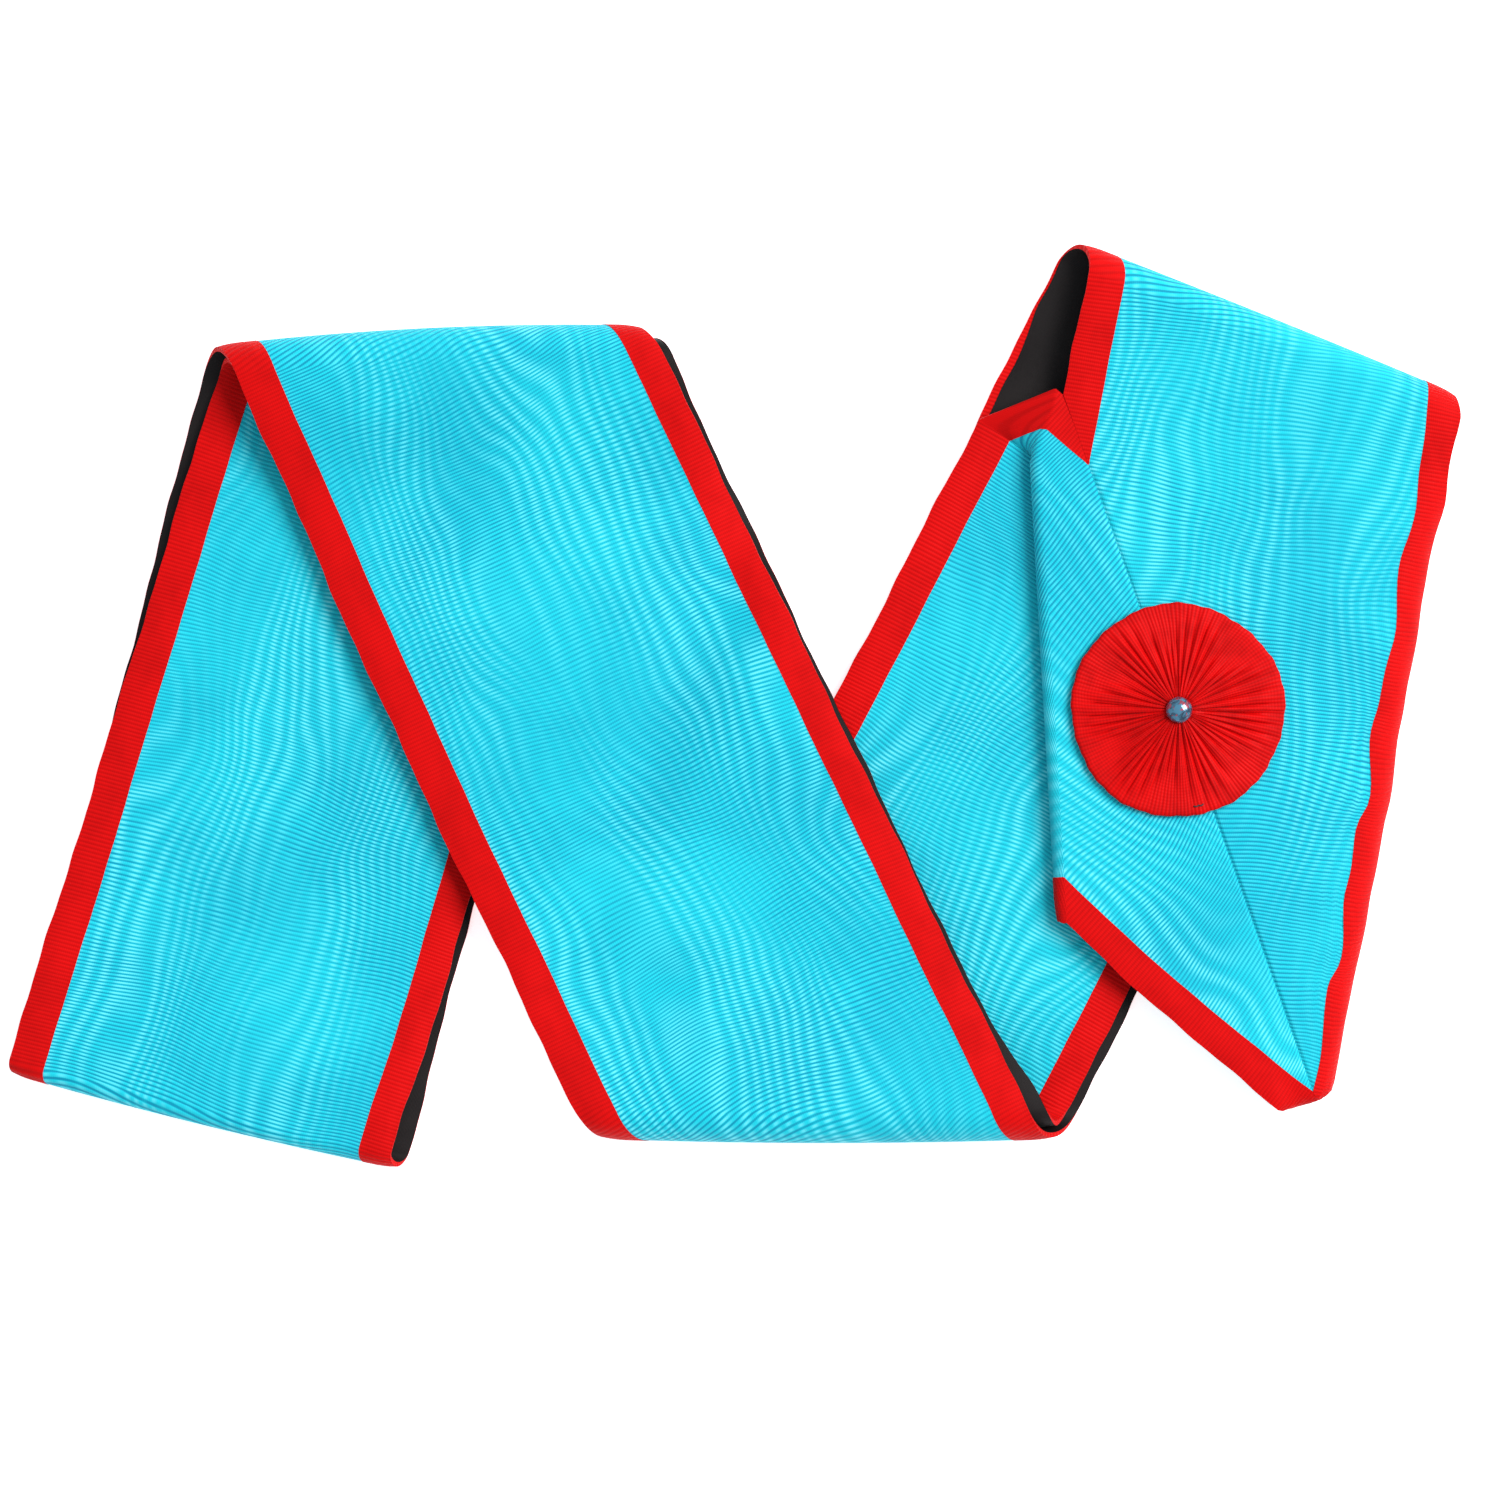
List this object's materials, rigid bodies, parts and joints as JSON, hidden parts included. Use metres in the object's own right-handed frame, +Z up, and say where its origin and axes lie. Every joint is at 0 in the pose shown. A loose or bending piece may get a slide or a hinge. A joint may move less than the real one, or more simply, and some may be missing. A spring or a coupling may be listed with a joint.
{
  "type": "sash of an order",
  "caption": "Turquoise moiré sash of an order with red edges and black lining, mitred under a red pleated rosette, lying folded in a flat zigzag.",
  "frame": {"origin": "middle of the outline in plan, on the table the sash lies on", "axes": "+X to the right of the picture, from the zigzag's free left end to the mitred tip; +Y to the top of the picture; +Z up from the table, with the rosette on top"},
  "size_m": [0.3706, 0.2372, 0.0197],
  "materials": {
    "moire": "watered (moiré) turquoise ribbon with fine cross ribs and a soft sheen",
    "edge": "red ribbed ribbon, soft sheen",
    "lining": "black satin lining",
    "rosette": "red ribbed ribbon gathered in fine radial pleats",
    "button": "shiny blue-grey domed button"
  },
  "bodies": {
    "root": {"moire_ribbon": "moire", "edge_ribbon_inner": "edge", "edge_ribbon_outer": "edge", "lining": "lining", "rosette": "rosette", "rosette_button": "button"}
  },
  "joints": []
}
